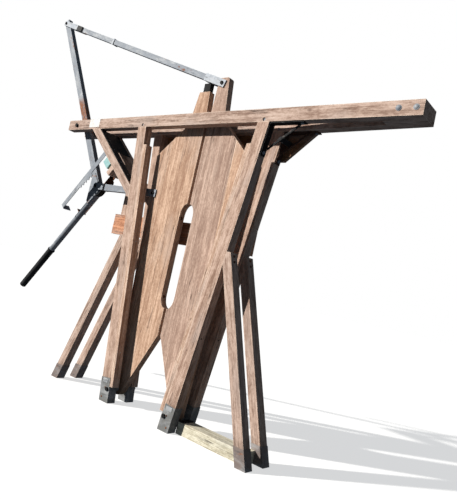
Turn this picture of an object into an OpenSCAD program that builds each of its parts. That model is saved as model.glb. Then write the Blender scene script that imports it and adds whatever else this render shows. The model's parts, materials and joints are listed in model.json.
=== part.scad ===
// Cattle head bail: a free-standing timber head gate. Two hardwood doors stand on bolts at
// their feet between a front and a rear frame, and a steel bell crank opens both at once.
// X runs along the beams, Y from the front face to the back, Z up from the ground.
// The origin is on the ground, in the middle of the gateway and midway between the frames.

/* [Beams] */
// Height of the top of the beams above the ground
beam_top = 2490; // [2300:1:2700]
// Reach of the beams to the left of the gateway's middle
beam_left = 1855; // [1760:1:2300]
// Reach of the beams to the right of the gateway's middle
beam_right = 1855; // [1560:1:2300]
// Height of a beam
beam_h = 100; // [80:1:120]
// Thickness of a beam, of a leg and of a strut, front to back
frame_t = 75; // [60:1:90]
// Clear gap between the front frame and the rear frame
frame_gap = 130; // [124:1:160]
// Distance from the middle at which the rear beam begins to run in
draw_start = 735; // [700:1:900]
// How far the rear beam's right end is drawn in towards the front beam
rear_draw = 80; // [40:1:100]
// Length of the spacer block between the beams' right ends
spacer_len = 283; // [200:1:330]

/* [Legs and struts] */
// Width of a leg's face, square to its length
leg_w = 105; // [90:1:115]
// Distance from the middle to a leg's outer edge at the ground
leg_foot_x = 414; // [405:1:440]
// Distance from the middle to a leg's outer edge under the beam
leg_head_x = 733; // [700:1:760]
// Width of the liner on a leg's inner side
liner_w = 38; // [25:1:45]
// Depth of a liner, front to back
liner_d = 68; // [50:1:75]
// Height of the liners' lower end
liner_low = 136; // [134:1:300]
// Gap between the liners' upper end and the beam
liner_drop = 165; // [130:1:500]
// Width of a strut's face, square to its length
strut_w = 80; // [60:1:90]
// Distance from the middle to a strut's outer edge at the ground
strut_foot_x = 1148; // [1050:1:1250]
// Distance from the middle to a strut's outer edge at its head
strut_head_x = 639; // [625:1:660]
// Height of the struts' heads
strut_head_z = 1400; // [1250:1:1500]
// Height of a tenon on a leg's head
tenon_h = 40; // [30:1:50]
// Thickness of a tenon
tenon_t = 25; // [18:1:30]

/* [Braces and rail] */
// Width of a left brace's face
brace_w = 80; // [60:1:95]
// Distance from the middle to the left braces' lower edge under the beam
brace_reach = 1430; // [1380:1:1480]
// Depth below the beam at which the braces' lower edge meets the leg
brace_drop = 659; // [600:1:700]
// Height of the rear rail's lower edge
rail_z = 1420; // [1300:1:1500]
// Height of the rear rail
rail_h = 195; // [150:1:200]
// Thickness of the rear rail and the rear post
rail_t = 40; // [30:1:50]
// Distance from the middle to the rail's left end
rail_left = 1130; // [1100:1:1250]
// Distance from the middle to the rail's right end
rail_right = 600; // [585:1:700]
// Width of the rear post
post_w = 90; // [70:1:100]
// Gap between the rear post's head and the beam
post_drop = 330; // [240:1:350]
// Arm of a corner bracket along the leg
bracket_drop = 252; // [230:1:320]
// Arm of a corner bracket along the beam
bracket_reach = 290; // [260:1:320]
// Width of the flat bar of a corner bracket
bracket_w = 60; // [45:1:70]
// Thickness of the flat bar of a corner bracket
bracket_t = 8; // [6:1:10]

/* [Feet] */
// Height of the shoe on a leg
leg_shoe_h = 190; // [150:1:220]
// Height of the shoe on a strut
strut_shoe_h = 130; // [100:1:200]
// Wall of a shoe
shoe_wall = 3; // [2:1:4]
// Thickness of a shoe's base plate
base_t = 4; // [3:1:6]
// Height of the sill
sill_h = 90; // [60:1:94]
// Height of the bolts that the doors stand on
foot_bolt_z = 110; // [106:1:116]
// Distance from a leg's inner edge to the bolt that a door stands on
foot_bolt_in = 22; // [19:1:29]
// Diameter of those bolts
foot_bolt_d = 20; // [16:1:24]

/* [Doors] */
// Thickness of a door
door_t = 60; // [45:1:62]
// Width of the slit between the closed doors
door_slit = 32; // [20:1:40]
// Width of the neck slot
neck_w = 150; // [120:1:180]
// Height at which the neck slot reaches its full width
neck_low = 975; // [950:1:1100]
// Height at which the neck slot begins to close again
neck_high = 1640; // [1500:1:1700]
// Depth of the neck slot's pointed ends
neck_end = 106; // [80:1:120]
// Height of the gap's peak between the doors' feet
vee_z = 645; // [500:1:700]
// Radius of a door's foot
door_foot_r = 48; // [44:1:50]
// Distance from the middle to a door's outer edge at its shoulder
door_out = 520; // [500:1:540]
// Depth of a door's shoulder below the beam
shoulder_drop = 234; // [210:1:270]
// Distance from the middle to the joint between a door's two boards
joint_x = 365; // [360:1:372]
// Rise of the left door's tongue above the beam
left_tongue_rise = 235; // [110:1:250]
// Rise of the right door's tongue above the beam
right_tongue_rise = 345; // [335:1:360]
// Diameter of the rods that tie a door's boards together
rod_d = 12; // [10:1:16]

/* [Operating gear] */
// Depth of the crank's pivot bolt below the beam's top
crank_drop = 53; // [45:1:60]
// Distance from the beam's left end to the crank's pivot bolt
crank_inset = 143; // [125:1:155]
// Lean of the crank arm from upright, in degrees
arm_lean = 34.2; // [33:0.1:35]
// Length of the crank arm above its pivot bolt
arm_up = 1580; // [1540:1:1620]
// Length of the crank arm below its pivot bolt
arm_down = 720; // [715:1:740]
// Depth of the arm's box section
arm_w = 75; // [65:1:80]
// Width of the arm and links, front to back
bar_t = 50; // [40:1:50]
// Wall of the box sections
bar_wall = 4; // [3:1:5]
// Depth of the top link's box section
link_w = 50; // [40:1:55]
// Depth of the lower link at its left end
low_link_w = 64; // [50:1:66]
// Depth of the lower link at its right end
low_link_end_w = 46; // [40:1:50]
// Diameter of the crank's pivot bolt
crank_bolt_d = 24; // [20:1:26]
// Diameter of the link pins
pin_d = 20; // [16:1:22]
// Outside diameter of the handle pipe
handle_d = 60; // [48:1:60]
// Wall of the handle pipe
handle_wall = 4; // [3:1:5]
// Length of the handle pipe
handle_len = 1476; // [1200:1:1600]
// Slope of the handle below level, in degrees
handle_slope = 48.8; // [47:0.1:50]
// Length of the rubber grip
grip_len = 585; // [400:1:650]
// Wall of the rubber grip
grip_wall = 4; // [3:1:6]

/* [Catch rack] */
// Length of a rack
rack_len = 744; // [650:1:760]
// Width of a rack
rack_w = 50; // [40:1:55]
// Thickness of a rack
rack_t = 6; // [5:1:8]
// Number of catch teeth
teeth = 5; // [3:1:6]
// Pitch of the catch teeth
tooth_pitch = 42; // [36:1:44]

/* [Hidden] */

fine = 48;
front_out = -(frame_gap / 2 + frame_t);
front_in = -frame_gap / 2;
rear_in = frame_gap / 2;
rear_out = frame_gap / 2 + frame_t;
beam_low = beam_top - beam_h;
liner_high = beam_low - liner_drop;
post_top = beam_low - post_drop;
shoulder_z = beam_low - shoulder_drop;
left_tongue_top = beam_top + left_tongue_rise;
right_tongue_top = beam_top + right_tongue_rise;
run_gap = 0.05;
hole_gap = 0.5;
side_gap = 0.3;
snug = 0.05;

timber = [0.82, 0.70, 0.60];
liner_timber = [0.93, 0.83, 0.74];
door_timber = [0.72, 0.57, 0.45];
bleached = [0.88, 0.84, 0.76];
zinc = [0.62, 0.64, 0.66];
black_steel = [0.13, 0.13, 0.14];
rust = [0.42, 0.24, 0.15];
black_rubber = [0.07, 0.07, 0.07];
pale_blue = [0.62, 0.80, 0.80];

// Outline in X and Z, given thickness from y0 to y1.
module slab(outline, y0, y1)
  translate([0, y1, 0]) rotate([90, 0, 0]) linear_extrude(y1 - y0) polygon(outline);

module block(x0, x1, y0, y1, z0, z1)
  translate([x0, y0, z0]) cube([x1 - x0, y1 - y0, z1 - z0]);

// Round bar along Y.
module round_y(at, d, y0, y1)
  translate([at[0], y0, at[1]]) rotate([-90, 0, 0]) cylinder(h = y1 - y0, d = d, $fn = fine);

// Round bar in the X and Z plane, from one point for a length in a direction.
module round_xz(from, angle, len, d)
  translate([from[0], 0, from[1]]) rotate([0, 90 - angle, 0]) cylinder(h = len, d = d, $fn = fine);

// Six-sided bolt head or nut along Y.
module hex_y(at, d, y0, y1)
  translate([at[0], y0, at[1]]) rotate([-90, 0, 0]) cylinder(h = y1 - y0, d = d, $fn = 6);

// Low dome whose flat side lies at y, rising away from the frames on that side.
module dome_y(at, d, h, y, side) {
  ball_r = (d * d / 4 + h * h) / (2 * h);
  intersection() {
    translate([at[0], y - side * (ball_r - h), at[1]]) sphere(r = ball_r, $fn = fine);
    if (side < 0) round_y(at, d + 1, y - h - 1, y);
    else round_y(at, d + 1, y, y + h + 1);
  }
}

// Children drawn twice, once at each side of the gateway's middle.
module both_sides() {
  children();
  mirror([1, 0, 0]) children();
}

// Children moved so that local X runs from a point in a direction in the X and Z plane.
module aim(from, angle)
  translate([from[0], 0, from[1]]) rotate([0, -angle, 0]) children();

function way(angle) = [cos(angle), sin(angle)];
function turned_left(v) = [-v[1], v[0]];
function cross2(a, b) = a[0] * b[1] - a[1] * b[0];
// Point where the line through p along d meets the line through q along e.
function meet(p, d, q, e) = p + d * (cross2(q - p, e) / cross2(d, e));
function unit(v) = v / norm(v);

// Legs: lines in X and Z on the right side of the gateway.
leg_lean = (leg_head_x - leg_foot_x) / beam_low;
leg_dir = unit([leg_lean, 1]);
leg_level_w = leg_w / leg_dir[1];
liner_level_w = liner_w / leg_dir[1];
function leg_out_x(z) = leg_foot_x + leg_lean * z;
function leg_in_x(z) = leg_out_x(z) - leg_level_w;
function liner_in_x(z) = leg_in_x(z) - liner_level_w;
foot_bolt_x = leg_in_x(foot_bolt_z) + foot_bolt_in;

tenon_half = 32;
function tenon_mid() = leg_out_x(beam_low) - leg_level_w / 2;
tenon_bolt_z = beam_low + tenon_h / 2;
tenon_bolt_d = 12;

rail_bolt_z = 750;
rail_bolt_d = 18;
rail_bolt_angle = -atan(leg_lean);
rail_bolt_start = [liner_in_x(rail_bolt_z) - 30, rail_bolt_z + 30 * leg_lean];

module leg(y0, y1) {
  y_mid = (y0 + y1) / 2;
  color(timber) difference() {
    union() {
      slab([[leg_in_x(base_t), base_t], [leg_out_x(base_t), base_t],
            [leg_out_x(beam_low), beam_low], [leg_in_x(beam_low), beam_low]], y0, y1);
      block(tenon_mid() - tenon_half, tenon_mid() + tenon_half,
            y_mid - tenon_t / 2, y_mid + tenon_t / 2, beam_low, beam_low + tenon_h);
    }
    round_y([tenon_mid(), tenon_bolt_z], tenon_bolt_d + hole_gap, y0 - 1, y1 + 1);
    round_y([foot_bolt_x, foot_bolt_z], foot_bolt_d + 2 * run_gap, y0 - 1, y1 + 1);
  }
}

module rail_bolt_hole(y_mid)
  translate([0, y_mid, 0]) round_xz(rail_bolt_start, rail_bolt_angle, 230, rail_bolt_d);

module right_leg(y0, y1)
  color(timber) difference() {
    leg(y0, y1);
    rail_bolt_hole((y0 + y1) / 2);
  }

module left_leg(y0, y1) mirror([1, 0, 0]) leg(y0, y1);

module liner(y0, y1)
  color(liner_timber)
    slab([[liner_in_x(liner_low), liner_low], [leg_in_x(liner_low), liner_low],
          [leg_in_x(liner_high), liner_high], [liner_in_x(liner_high), liner_high]], y0, y1);

module right_liner(y0, y1, y_mid)
  color(liner_timber) difference() {
    liner(y0, y1);
    rail_bolt_hole(y_mid);
  }

module left_liner(y0, y1) mirror([1, 0, 0]) liner(y0, y1);

// Beams
module mortises(y_mid)
  for (side = [-1, 1])
    block(side * tenon_mid() - tenon_half - hole_gap, side * tenon_mid() + tenon_half + hole_gap,
          y_mid - tenon_t / 2 - hole_gap, y_mid + tenon_t / 2 + hole_gap,
          beam_low - 1, beam_low + tenon_h + hole_gap);

// Tenon bolts have their heads sunk in the frames' outer faces.
tenon_sink = 16;
tenon_head_t = 7;
tenon_head_d = 24;
module tenon_bolt_holes(y0, y1)
  for (side = [-1, 1]) {
    round_y([side * tenon_mid(), tenon_bolt_z], tenon_bolt_d + hole_gap, y0, y1);
    round_y([side * tenon_mid(), tenon_bolt_z], tenon_head_d + 4, front_out - 1, front_out + tenon_sink);
    round_y([side * tenon_mid(), tenon_bolt_z], tenon_head_d + 4, rear_out - tenon_sink, rear_out + 1);
  }

module tenon_bolt(side) {
  at = [side * tenon_mid(), tenon_bolt_z];
  round_y(at, tenon_bolt_d, front_out + tenon_sink - tenon_head_t - 1, front_in + washer_t + 5);
  round_y(at, tenon_head_d, front_out + tenon_sink - tenon_head_t, front_out + tenon_sink);
  hex_y(at, tenon_bolt_d * 1.8, front_in, front_in + washer_t + 4);
}

spacer_bolt_d = 16;
spacer_bolt_z = beam_top - 48;
spacer_bolts = [beam_right - 159, beam_right - 48];
crank = [crank_inset - beam_left, beam_top - crank_drop];
draw_rate = rear_draw / (beam_right - draw_start);
function drawn_in(x) = max(0, x - draw_start) * draw_rate;

module beam_holes(y0, y1) {
  for (x = spacer_bolts) round_y([x, spacer_bolt_z], spacer_bolt_d + hole_gap, y0, y1);
  round_y(crank, crank_bolt_d + 2 * run_gap, y0, y1);
  tenon_bolt_holes(y0, y1);
}

module front_beam()
  color(timber) difference() {
    block(-beam_left, beam_right, front_out, front_in, beam_low, beam_top);
    mortises((front_out + front_in) / 2);
    beam_holes(front_out - 1, front_in + 1);
  }

module rear_beam()
  color(timber) difference() {
    translate([0, 0, beam_low]) linear_extrude(beam_h)
      polygon([[-beam_left, rear_in], [draw_start, rear_in],
               [beam_right, rear_in - rear_draw], [beam_right, rear_out - rear_draw],
               [draw_start, rear_out], [-beam_left, rear_out]]);
    mortises((rear_out + rear_in) / 2);
    beam_holes(rear_in - rear_draw - 1, rear_out + 1);
  }

module beam_spacer() {
  x0 = beam_right - spacer_len;
  color(timber) difference() {
    translate([0, 0, beam_low]) linear_extrude(beam_h)
      polygon([[x0, front_in], [beam_right, front_in],
               [beam_right, rear_in - drawn_in(beam_right)], [x0, rear_in - drawn_in(x0)]]);
    for (x = spacer_bolts)
      round_y([x, spacer_bolt_z], spacer_bolt_d + hole_gap, front_in - 1, rear_in + 1);
  }
}

washer_t = 3;
nut_t = 12;

module through_bolt(at, d, y0, y1) {
  round_y(at, d, y0 - washer_t - 1, y1 + washer_t + 4);
  round_y(at, d * 2.4, y0 - washer_t, y0);
  dome_y(at, d * 2.1, d * 0.45, y0 - washer_t, -1);
  round_y(at, d * 2.4, y1, y1 + washer_t);
  hex_y(at, d * 1.8, y1 + washer_t, y1 + washer_t + nut_t);
}

module beam_bolts() {
  color(zinc) for (x = spacer_bolts)
    through_bolt([x, spacer_bolt_z], spacer_bolt_d, front_out, rear_out - drawn_in(x - spacer_bolt_d * 1.3));
  color(rust) for (side = [-1, 1]) {
    tenon_bolt(side);
    mirror([0, 1, 0]) tenon_bolt(side);
  }
}

plate_x = beam_left - 357;
plate_w = 165;
plate_h = 82;
module name_plate()
  color("white")
    block(-plate_x, plate_w - plate_x, front_out - 1.5, front_out, beam_top - 1 - plate_h, beam_top - 1);

// Struts
strut_lean = (strut_foot_x - strut_head_x) / strut_head_z;
strut_dir = unit([-strut_lean, 1]);
strut_level_w = strut_w / strut_dir[1];
function strut_out_x(z) = strut_foot_x - strut_lean * z;
function strut_in_x(z) = strut_out_x(z) - strut_level_w;
strut_touch = meet([strut_in_x(0), 0], strut_dir, [leg_foot_x, 0], leg_dir);

module strut(y0, y1)
  color(timber)
    slab([[strut_in_x(base_t), base_t], [strut_out_x(base_t), base_t],
          [strut_out_x(strut_head_z), strut_head_z],
          [leg_out_x(strut_head_z), strut_head_z], strut_touch], y0, y1);

module left_strut(y0, y1) mirror([1, 0, 0]) strut(y0, y1);

screw_d = 8;
screw_head_d = 18;
strut_screw_drop = [25, 65];
module strut_screws()
  both_sides() for (y = [-1, 1] * (rear_in + frame_t / 2), drop = strut_screw_drop) {
    z = strut_head_z - drop;
    at = [strut_out_x(z), z];
    translate([0, y, 0]) {
      round_xz(at + way(180) * 60, 0, 60, screw_d);
      round_xz(at - [4, 0], 0, 8, screw_head_d);
    }
  }

// Shoes. The liners stand on the leg's inner side, so a leg's shoe is cut away around them.
shoe_rake = 14;
module liner_clearance(y0, y1)
  slab([[leg_in_x(liner_low) - liner_level_w, liner_low - snug], [leg_in_x(liner_low) + 1, liner_low - snug],
        [leg_in_x(leg_shoe_h + 60) + 1, leg_shoe_h + 60],
        [leg_in_x(leg_shoe_h + 60) - liner_level_w, leg_shoe_h + 60]], y0 - 20, y1 + 20);

module leg_shoe(y0, y1) {
  w = shoe_wall;
  difference() {
    slab([[leg_in_x(0) - w, 0], [leg_out_x(0) + w, 0],
          [leg_out_x(leg_shoe_h) + w, leg_shoe_h], [leg_in_x(leg_shoe_h) - w, leg_shoe_h + shoe_rake]],
         y0 - w, y1 + w);
    slab([[leg_in_x(base_t), base_t], [leg_out_x(base_t), base_t],
          [leg_out_x(leg_shoe_h + 40), leg_shoe_h + 40], [leg_in_x(leg_shoe_h + 40), leg_shoe_h + 40]], y0, y1);
    liner_clearance(y0, y1);
    round_y([foot_bolt_x, foot_bolt_z], foot_bolt_d + 2 * run_gap, y0 - w - 1, y1 + w + 1);
  }
}

module leg_shoes()
  color(zinc) both_sides() {
    leg_shoe(front_out, front_in);
    leg_shoe(rear_in, rear_out);
  }

module strut_shoe(y0, y1) {
  w = shoe_wall;
  difference() {
    slab([[strut_in_x(0) - w, 0], [strut_out_x(0) + w, 0],
          [strut_out_x(strut_shoe_h) + w, strut_shoe_h],
          [strut_in_x(strut_shoe_h) - w, strut_shoe_h]], y0 - w, y1 + w);
    slab([[strut_in_x(base_t) - snug, base_t], [strut_out_x(base_t) + snug, base_t],
          [strut_out_x(strut_shoe_h + 20) + snug, strut_shoe_h + 20],
          [strut_in_x(strut_shoe_h + 20) - snug, strut_shoe_h + 20]], y0, y1);
  }
}

module strut_shoes()
  color(zinc) both_sides() {
    strut_shoe(front_out, front_in);
    strut_shoe(rear_in, rear_out);
  }

// Sill, on the right side only
sill_x0 = leg_out_x(0) + 16;
sill_x1 = strut_in_x(0) - 1;
sill_half = frame_gap / 2 - shoe_wall;
cleat_t = 6;
module sill()
  color(bleached) block(sill_x0, sill_x1, -sill_half, sill_half, 0, sill_h);

module sill_cleat()
  color(black_steel) {
    block(sill_x0 - cleat_t, sill_x0, -sill_half, sill_half, 0, sill_h + cleat_t);
    block(sill_x0, sill_x0 + 50, -sill_half, sill_half, sill_h, sill_h + cleat_t);
    for (y = [-30, 30]) hex_z([sill_x0 + 28, y], 20, sill_h + cleat_t, sill_h + cleat_t + 8);
  }

module hex_z(at, d, z0, z1)
  translate([at[0], at[1], z0]) cylinder(h = z1 - z0, d = d, $fn = 6);

// Rear rail and post
module rear_rail()
  color(timber) block(-rail_left, rail_right, rear_out, rear_out + rail_t, rail_z, rail_z + rail_h);

post_x = -960;
module rear_post()
  color(timber) block(post_x - post_w, post_x, rear_out, rear_out + rail_t, rail_z + rail_h, post_top);

nail_d = 6;
nail_head_d = 14;
module nail(at, y0, y1, side) {
  round_y(at, nail_d, min(y0, y1), max(y0, y1));
  dome_y(at, nail_head_d, 2.5, side < 0 ? min(y0, y1) : max(y0, y1), side);
}

rail_nail_at = concat(
  [for (side = [-1, 1], z = [rail_z + 50, rail_z + rail_h - 50])
     [side * (leg_out_x(z) - leg_level_w / 2), z]],
  [for (z = [post_top - 30, post_top - 75]) [post_x - 22, z]]);
module rail_nails()
  for (at = rail_nail_at) nail(at, rear_out - 50, rear_out + rail_t, 1);

// Head board behind the rear legs, under the beam, with its right end cut on the slant
board_drop = 215;
board_lap = 36;
board_t = 25;
board_top = beam_low + board_lap;
board_low = beam_low - board_drop;
board_left = -leg_out_x(beam_low);
board_right_low = leg_out_x(board_low) + 30;
board_right_high = board_right_low + (board_top - board_low) * 1.1;
module head_board()
  color(timber) slab([[board_left, board_low], [board_right_low, board_low],
                      [board_right_high, board_top], [board_left, board_top]],
                     rear_out + snug, rear_out + snug + board_t);

board_nail_at = [for (side = [-1, 1], z = [board_low + 45, board_low + 150])
                   [side * (leg_out_x(z) - leg_level_w / 2), z]];
module board_nails()
  for (at = board_nail_at) nail(at, rear_out - 40, rear_out + snug + board_t, 1);

// Coach screws at the struts' heads, and nails in the rail, the post and the head board
module screws_and_nails()
  color(rust) {
    strut_screws();
    rail_nails();
    board_nails();
  }

// Left braces
brace_corner = [-brace_reach, beam_low];
brace_toe_z = beam_low - brace_drop;
brace_toe = [-leg_out_x(brace_toe_z), brace_toe_z];
brace_dir = unit(brace_toe - brace_corner);
brace_up = turned_left(brace_dir);
brace_head = meet(brace_corner + brace_up * brace_w, brace_dir, brace_corner, [1, 0]);
brace_shoulder = meet(brace_corner + brace_up * brace_w, brace_dir,
                      [-leg_foot_x, 0], [-leg_dir[0], leg_dir[1]]);
brace_angle = atan2(brace_dir[1], brace_dir[0]);
function on_brace(s, up) = brace_corner + brace_dir * s + brace_up * up;

module brace(y0, y1)
  color(timber) slab([brace_corner, brace_head, brace_shoulder, brace_toe], y0, y1);

// Rubber sheet over the braces' upper faces. Below sheet_wide it covers only the front brace, and
// leaves the gap open for the left door.
sheet_t = 6;
sheet_start = 112;
sheet_wide = 430;
sheet_end = 876;
sheet_front = front_out + 2;
sheet_back = rear_in + 25;
module on_brace_top(s, y)
  translate([on_brace(s, brace_w)[0], y, on_brace(s, brace_w)[1]]) rotate([0, -brace_angle, 0])
    children();

module rubber_sheet()
  color(black_rubber) {
    on_brace_top(sheet_start, sheet_front)
      cube([sheet_wide - sheet_start, sheet_back - sheet_front, sheet_t]);
    on_brace_top(sheet_wide, sheet_front)
      cube([sheet_end - sheet_wide, front_in - 1 - sheet_front, sheet_t]);
  }

rubber_nail_at = concat([for (s = [160, 273, 413, 600, 780]) [s, front_out + 40]],
                        [for (s = [160, 410]) [s, rear_in + 15]]);
module rubber_nails()
  color(zinc) for (at = rubber_nail_at) on_brace_top(at[0], at[1]) {
    translate([0, 0, -28]) cylinder(h = 28 + sheet_t, d = nail_d, $fn = fine);
    translate([0, 0, sheet_t]) cylinder(h = 2.5, d1 = nail_head_d, d2 = nail_head_d - 5, $fn = fine);
  }

// Corner brackets, on the right side only
bracket_start = [leg_out_x(beam_low), beam_low];
bracket_out = [leg_dir[1], -leg_dir[0]];
bracket_low = bracket_start - leg_dir * bracket_drop;
bracket_bolt_in = 25;
bracket_bolt_d = 12;
diagonal_w = 16;
diagonal_low = bracket_start - leg_dir * (bracket_drop - 70) + bracket_out * bracket_t;
diagonal_high = bracket_start + [bracket_reach - 70, -bracket_t];
diagonal_dir = unit(diagonal_high - diagonal_low);
diagonal_out = [diagonal_dir[1], -diagonal_dir[0]];

// Two flanges and a diagonal strip along their inner edge, for the frame between y0 and y1.
module corner_bracket(y0, y1) {
  a = (y0 + y1 - bracket_w) / 2;
  b = (y0 + y1 + bracket_w) / 2;
  color(black_steel) difference() {
    union() {
      slab([bracket_start, bracket_low, bracket_low + bracket_out * bracket_t,
            bracket_start + bracket_out * bracket_t], a, b);
      slab([bracket_start, bracket_start + [bracket_reach, 0],
            bracket_start + [bracket_reach, -bracket_t], bracket_start + [0, -bracket_t]], a, b);
      slab([diagonal_low, diagonal_high, diagonal_high + [diagonal_w * 1.6, 0],
            diagonal_low - leg_dir * diagonal_w * 1.3], b - bracket_t, b);
    }
    translate([0, (y0 + y1) / 2, 0]) {
      round_xz(bracket_low + leg_dir * bracket_bolt_in - bracket_out * 20, rail_bolt_angle, 60,
               bracket_bolt_d + hole_gap);
      translate([bracket_start[0] + bracket_reach - bracket_bolt_in, 0, beam_low - 20])
        cylinder(h = 40, d = bracket_bolt_d + hole_gap, $fn = fine);
    }
  }
}

// Coach screws that hold the brackets, with round heads outside.
module bracket_bolts()
  color(zinc) for (y = [-1, 1] * (rear_in + frame_t / 2)) translate([0, y, 0]) {
    at = bracket_low + leg_dir * bracket_bolt_in;
    round_xz(at - bracket_out * 70, rail_bolt_angle, 70 + bracket_t, bracket_bolt_d);
    round_xz(at + bracket_out * bracket_t, rail_bolt_angle, 8, bracket_bolt_d * 2);
    translate([bracket_start[0] + bracket_reach - bracket_bolt_in, 0, beam_low - bracket_t - 8]) {
      cylinder(h = 8, d = bracket_bolt_d * 2, $fn = fine);
      cylinder(h = 68, d = bracket_bolt_d, $fn = fine);
    }
  }

// Flat bar across the two diagonals, which stops the right door.
stop_at = 100;
stop_w = 40;
stop_t = 10;
stop_half = rear_in + (frame_t - bracket_w) / 2 + bracket_t;
module door_stop_bar()
  color(black_steel)
    slab([diagonal_low + diagonal_dir * stop_at, diagonal_low + diagonal_dir * (stop_at + stop_w),
          diagonal_low + diagonal_dir * (stop_at + stop_w) - diagonal_out * stop_t,
          diagonal_low + diagonal_dir * stop_at - diagonal_out * stop_t],
         -stop_half, stop_half);

// Catch racks on the braces' lower edges
rack_at = 381;
rack_foot_t = 6;
rack_lean = 1.8;
rack_angle = brace_angle - 90 - rack_lean;
rack_root = on_brace(rack_at, -rack_foot_t);
rack_dir = way(rack_angle);
rack_side = turned_left(rack_dir);
rack_y = front_out + 4;
rack_foot_w = 62;
rack_foot_half = 45;
rack_flange = 28;
function on_rack(s, side) = rack_root + rack_dir * s + rack_side * side;
tooth_first = 262;
tooth_tip = 66;
tooth_fall = 6;
tooth_depth = 16;
rack_turn_in = 84;
rack_end_w = 62;

module rack_outline_tooth(k) {
  s = tooth_first + k * tooth_pitch;
  tip = tooth_tip - k * tooth_fall;
  slab([on_rack(s - tooth_pitch * 0.5, 0), on_rack(s - tooth_pitch * 0.5, tip - tooth_depth),
        on_rack(s, tip), on_rack(s + 6, tip - 2), on_rack(s + tooth_pitch * 0.25, tip - tooth_depth),
        on_rack(s + tooth_pitch * 0.5, tip - tooth_depth - tooth_fall), on_rack(s + tooth_pitch * 0.5, 0)],
       rack_y, rack_y + rack_t);
}

module rack() {
  h = rack_w / 2;
  difference() {
    union() {
      slab([on_rack(0, -h), on_rack(0, h), on_rack(rack_len, h), on_rack(rack_len, -h)],
           rack_y, rack_y + rack_t);
      slab([on_rack(0, -h), on_rack(0, rack_t - h), on_rack(rack_len, rack_t - h), on_rack(rack_len, -h)],
           rack_y, rack_y + rack_flange);
      slab([on_rack(rack_len - rack_t, -h), on_rack(rack_len - rack_t, rack_end_w - h),
            on_rack(rack_len, rack_end_w - h), on_rack(rack_len, -h)], rack_y, rack_y + rack_turn_in);
      slab([on_brace(rack_at - rack_foot_half, -rack_foot_t - snug), on_brace(rack_at - rack_foot_half, -snug),
            on_brace(rack_at + rack_foot_half, -snug), on_brace(rack_at + rack_foot_half, -rack_foot_t - snug)],
           rack_y, rack_y + rack_foot_w);
      for (k = [0 : teeth - 1]) rack_outline_tooth(k);
    }
    for (s = rack_bolt_s) rack_bolt_bore(s);
  }
}

rack_bolt_s = [rack_at - 32, rack_at + 32];
rack_bolt_y = rack_y + 41;
rack_bolt_d = 10;
rack_bolt_head = 7;
module rack_bolt_bore(s)
  translate([0, rack_bolt_y, 0]) round_xz(on_brace(s, -20), brace_angle + 90, 40, rack_bolt_d + hole_gap);

module front_rack() color(zinc) rack();
module rear_rack() color(rust) mirror([0, 1, 0]) rack();

module rack_bolts()
  color(black_steel) for (flip = [0, 1], s = rack_bolt_s)
    mirror([0, flip, 0]) translate([0, rack_bolt_y, 0]) {
      round_xz(on_brace(s, -rack_foot_t - rack_bolt_head), brace_angle + 90, rack_foot_t + 57, rack_bolt_d);
      round_xz(on_brace(s, -rack_foot_t - 2 * snug - rack_bolt_head), brace_angle + 90, rack_bolt_head,
               rack_bolt_d * 2);
    }

rack_block_s = [557, 607];
rack_block_t = 92;
module rack_block()
  color(timber)
    slab([on_brace(rack_block_s[0], 0), on_brace(rack_block_s[1], 0),
          on_brace(rack_block_s[1], -rack_block_t), on_brace(rack_block_s[0], -rack_block_t)],
         front_out + 12, rear_out);

module packing_block()
  color(pale_blue)
    slab([on_brace(rack_at + 50, 0), on_brace(rack_block_s[0] - 27, 0),
          on_brace(rack_block_s[0] - 27, -70), on_brace(rack_at + 50, -70)],
         front_out + 10, front_in - 10);

// Bolts that the doors stand on, and the tubes that keep the doors midway
spacer_tube_d = 34;
module foot_bolts()
  color(black_steel) both_sides() {
    round_y([foot_bolt_x, foot_bolt_z], foot_bolt_d, front_out - shoe_wall - 1, rear_out + shoe_wall + 20);
    hex_y([foot_bolt_x, foot_bolt_z], foot_bolt_d * 1.7, front_out - shoe_wall - 12, front_out - shoe_wall);
    hex_y([foot_bolt_x, foot_bolt_z], foot_bolt_d * 1.7, rear_out + shoe_wall, rear_out + shoe_wall + 15);
  }

module tube_y(at, d_out, d_in, y0, y1)
  difference() {
    round_y(at, d_out, y0, y1);
    round_y(at, d_in, y0 - 1, y1 + 1);
  }

module foot_spacers()
  color(zinc) both_sides() for (flip = [0, 1]) mirror([0, flip, 0])
    tube_y([foot_bolt_x, foot_bolt_z], spacer_tube_d, foot_bolt_d + 2 * run_gap,
           front_in + shoe_wall, -door_t / 2 - side_gap);

module crank_bolt()
  color(black_steel) {
    round_y(crank, crank_bolt_d, front_out - 1, rear_out + 24);
    hex_y(crank, crank_bolt_d * 1.6, front_out - 14, front_out);
    hex_y(crank, crank_bolt_d * 1.6, rear_out, rear_out + 18);
  }

module crank_spacers()
  color(zinc) for (flip = [0, 1]) mirror([0, flip, 0])
    tube_y(crank, crank_bolt_d + 20, crank_bolt_d + 2 * run_gap, front_in, -bar_t / 2 - side_gap);

// Crank arm, handle and their pins
arm_angle = 90 + arm_lean;
arm_dir = way(arm_angle);
top_pin = crank + arm_dir * arm_up;
low_pin = crank - arm_dir * arm_down;
arm_end = 45;
crank_bush_d = crank_bolt_d + 10;
pin_bush_d = pin_d + 14;
handle_dir = way(180 + handle_slope);
handle_top = low_pin + [38, -30];

// Box section along local X from x0 to x1, w deep and t wide.
module box_section(x0, x1, w, t, wall)
  difference() {
    translate([x0, -t / 2, -w / 2]) cube([x1 - x0, t, w]);
    translate([x0 + wall, -t / 2 + wall, -w / 2 + wall])
      cube([x1 - x0 - 2 * wall, t - 2 * wall, w - 2 * wall]);
  }

module pipe_solid()
  round_xz(handle_top, 180 + handle_slope, handle_len, handle_d);

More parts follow.
